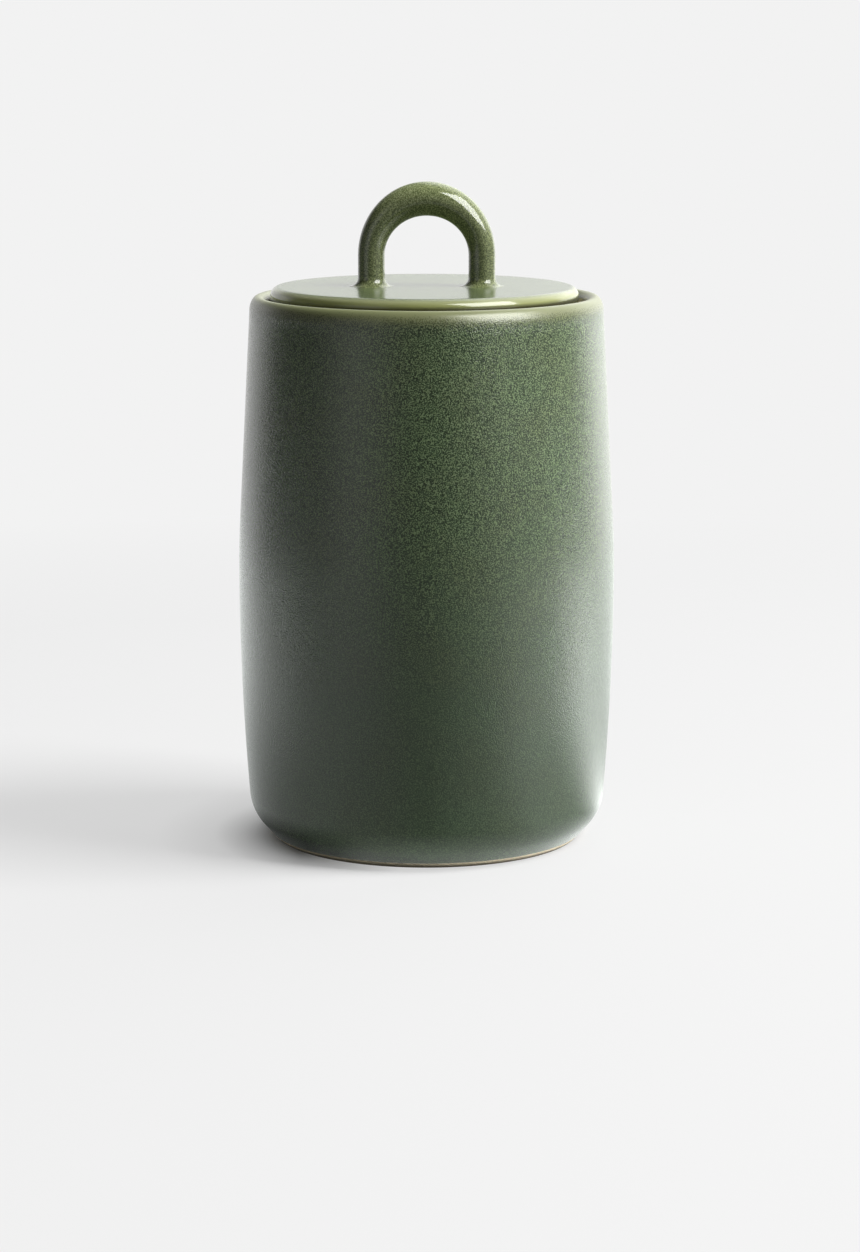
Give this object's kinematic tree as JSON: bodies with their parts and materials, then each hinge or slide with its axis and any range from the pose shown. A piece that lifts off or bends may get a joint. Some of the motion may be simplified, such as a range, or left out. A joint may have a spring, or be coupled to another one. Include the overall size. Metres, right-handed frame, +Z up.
{
  "type": "stoneware jar",
  "caption": "Glazed stoneware kitchen canister with an upright swelling body, a flat inset lid on an inner ledge and an arched loop handle on the lid.",
  "frame": {"origin": "centre of the foot ring's underside, on the surface that the jar stands on", "axes": "+Z up along the jar's turning axis; +X to the right as seen from the front, in the plane of the loop handle; +Y to the back"},
  "size_m": [0.15, 0.15, 0.2623],
  "materials": {
    "body_glaze": "satin dark green speckled glaze on stoneware, bare clay foot",
    "lid_glaze": "smooth green glaze that breaks yellow-green on the edge",
    "handle_glaze": "glossy mottled yellow-green glaze"
  },
  "bodies": {
    "jar": {"jar_body": "body_glaze"},
    "lid": {"lid_plate": "lid_glaze", "lid_handle": "handle_glaze"}
  },
  "joints": [
    {"name": "lid_lift", "type": "slide", "parent": "jar", "child": "lid", "axis": [0, 0, 1], "range_m": [0, 0.12]}
  ]
}
